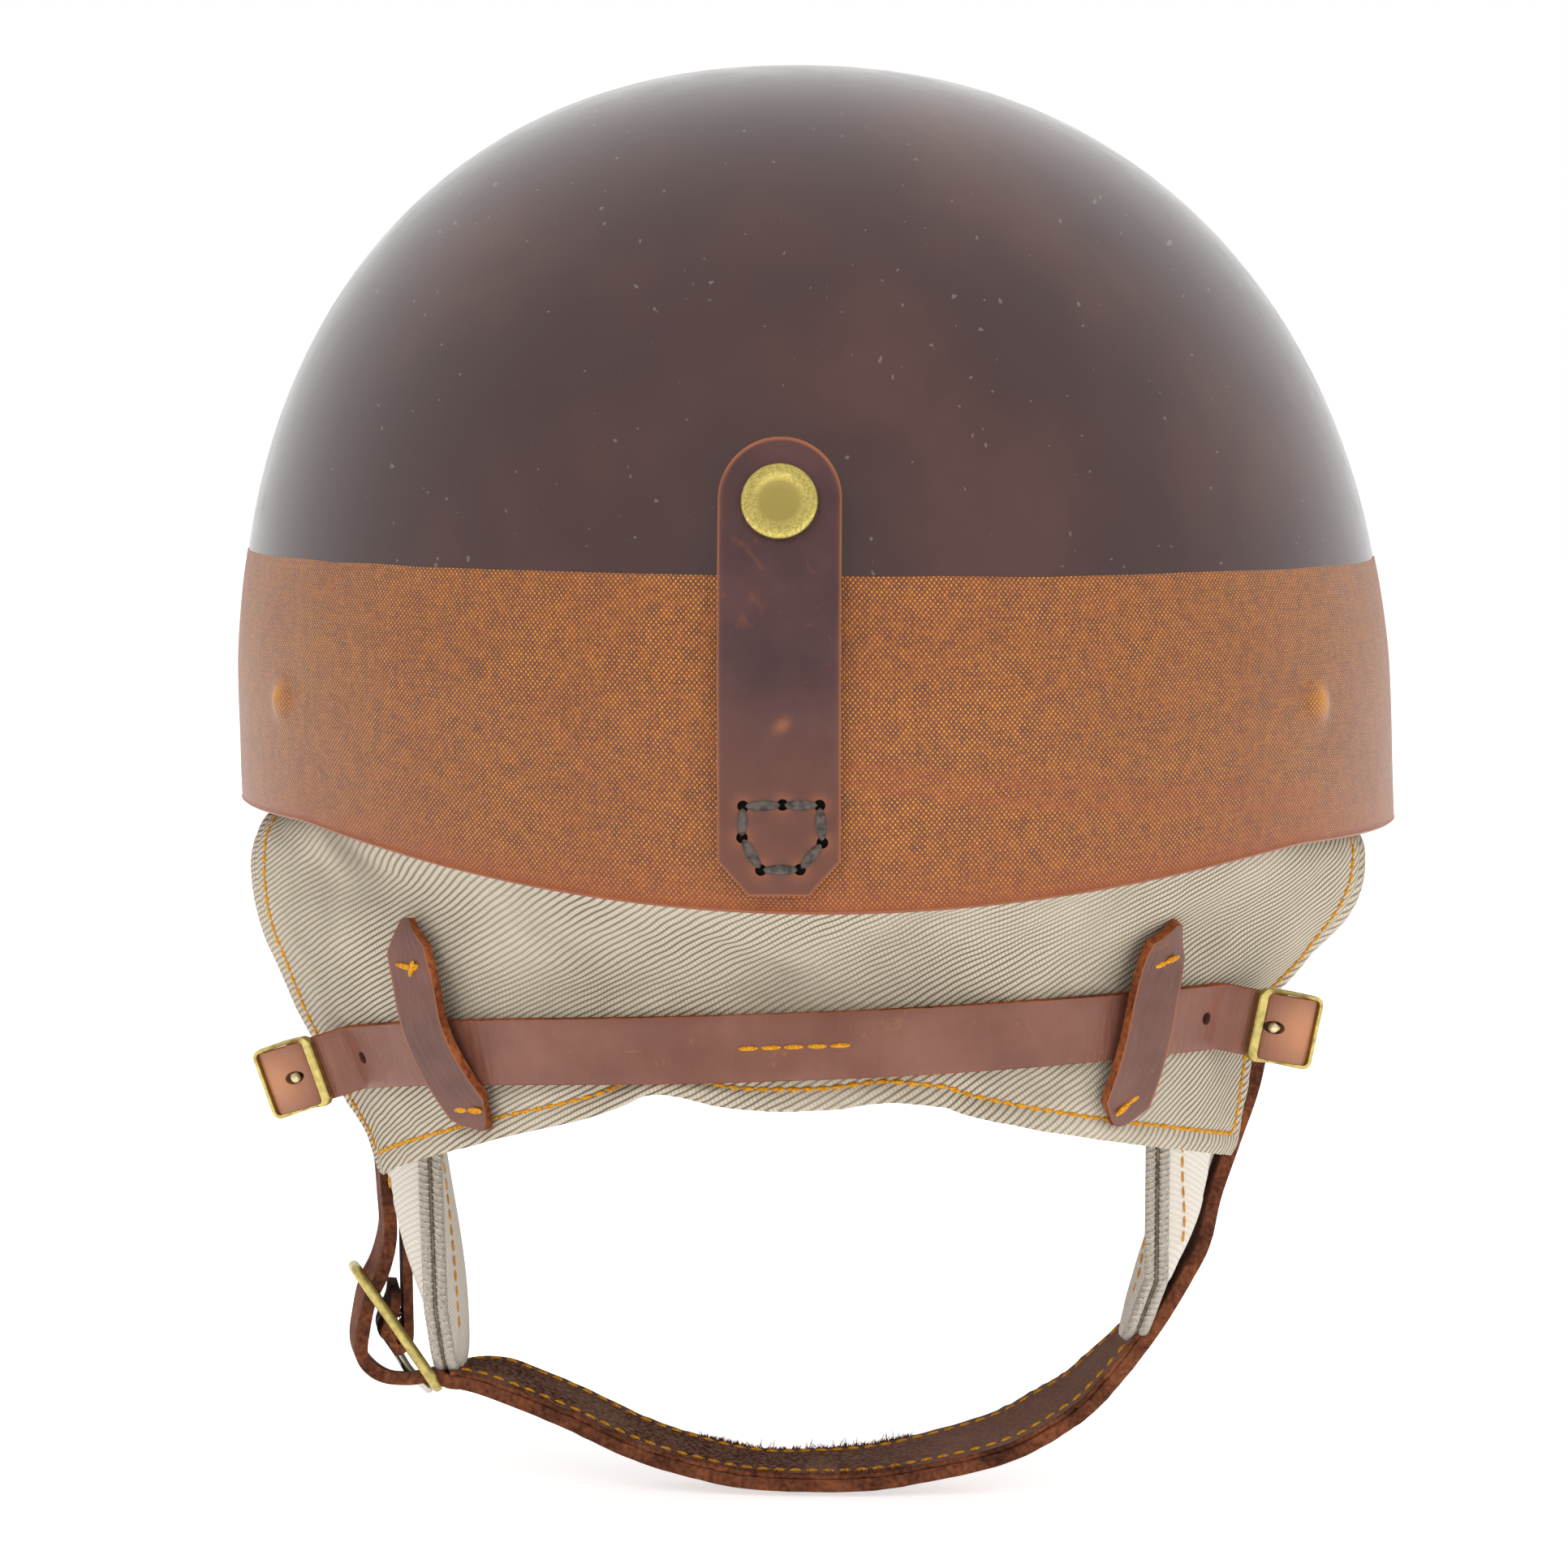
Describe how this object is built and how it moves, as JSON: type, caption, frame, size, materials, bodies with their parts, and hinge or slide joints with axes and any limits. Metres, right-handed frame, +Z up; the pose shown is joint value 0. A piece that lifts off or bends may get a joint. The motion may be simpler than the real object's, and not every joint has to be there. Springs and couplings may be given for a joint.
{
  "type": "racing helmet",
  "caption": "Half-shell racing helmet with a linen rim band, goggle-strap tab, cloth neck curtain with a buckled leather strap, cloth ear flaps and a leather chin strap.",
  "frame": {"origin": "middle of the shell's mouth, at the height of its side rim, where the head enters", "axes": "+Z up through the crown, -Y towards the face, +X towards the wearer's left"},
  "size_m": [0.2354, 0.2826, 0.2921],
  "materials": {
    "brown_lacquer": "gloss",
    "varnished_linen": "varnished",
    "cork": "raw",
    "cotton_canvas": "matte",
    "stone_twill": "matte",
    "pale_twill": "matte",
    "plum_leather": "satin",
    "chestnut_leather": "satin",
    "dark_suede": "napped",
    "aged_brass": "aged",
    "plated_steel": "plated",
    "waxed_cotton": "waxed"
  },
  "bodies": {
    "helmet": {"shell": "brown_lacquer", "linen_band": "varnished_linen", "cork_liner": "cork", "cradle_band": "cotton_canvas", "sweatband": "chestnut_leather", "harness_rivet_1": "aged_brass", "harness_rivet_2": "aged_brass", "harness_rivet_3": "aged_brass", "harness_rivet_4": "aged_brass", "cradle_tape_1": "cotton_canvas", "cradle_tape_2": "cotton_canvas", "cradle_tape_3": "cotton_canvas", "cradle_tape_4": "cotton_canvas", "cradle_tape_5": "cotton_canvas", "cradle_tape_6": "cotton_canvas", "crown_lace": "waxed_cotton", "tab_foot": "plum_leather", "snap_stud": "aged_brass", "neck_curtain": "stone_twill", "neck_strap": "chestnut_leather", "strap_keeper_left": "chestnut_leather", "strap_keeper_right": "chestnut_leather", "neck_buckle_left": "aged_brass", "neck_buckle_right": "aged_brass", "buckle_chape_left": "chestnut_leather", "buckle_chape_right": "chestnut_leather", "ear_flap_left": "pale_twill", "ear_flap_right": "pale_twill", "strap_hanger_left": "chestnut_leather", "strap_hanger_right": "chestnut_leather"},
    "goggle_tab": {"goggle_tab_flap": "plum_leather", "snap_cap": "aged_brass", "snap_socket": "aged_brass"},
    "neck_prong_left": {"neck_prong_left": "aged_brass"},
    "neck_prong_right": {"neck_prong_right": "aged_brass"},
    "chin_harness": {"ear_tongue_left": "pale_twill", "ear_tongue_right": "pale_twill", "chin_strap": "chestnut_leather", "chin_strap_lining": "dark_suede", "chin_short_strap": "chestnut_leather", "chin_buckle": "aged_brass"},
    "chin_prong": {"chin_prong": "plated_steel"}
  },
  "joints": [
    {"name": "goggle_tab_hinge", "type": "hinge", "parent": "helmet", "child": "goggle_tab", "pos_m": [0, 0.1423, 0.0127], "axis": [-1, 0, 0], "range_deg": [0, 110]},
    {"name": "neck_prong_left_hinge", "type": "hinge", "parent": "helmet", "child": "neck_prong_left", "pos_m": [0.09852, 0.05212, -0.05398], "axis": [-0.3347, -0.0293, -0.9419], "range_deg": [0, 12]},
    {"name": "neck_prong_right_hinge", "type": "hinge", "parent": "helmet", "child": "neck_prong_right", "pos_m": [-0.08894, 0.06413, -0.04291], "axis": [-0.2055, -0.0125, 0.9786], "range_deg": [0, 12]},
    {"name": "chin_harness_swing", "type": "hinge", "parent": "helmet", "child": "chin_harness", "pos_m": [0, 0, -0.08], "axis": [1, 0, 0], "range_deg": [-20, 20]},
    {"name": "chin_prong_hinge", "type": "hinge", "parent": "chin_harness", "child": "chin_prong", "pos_m": [0.088, 0, -0.11], "axis": [0, -1, 0], "range_deg": [0, 12]}
  ]
}
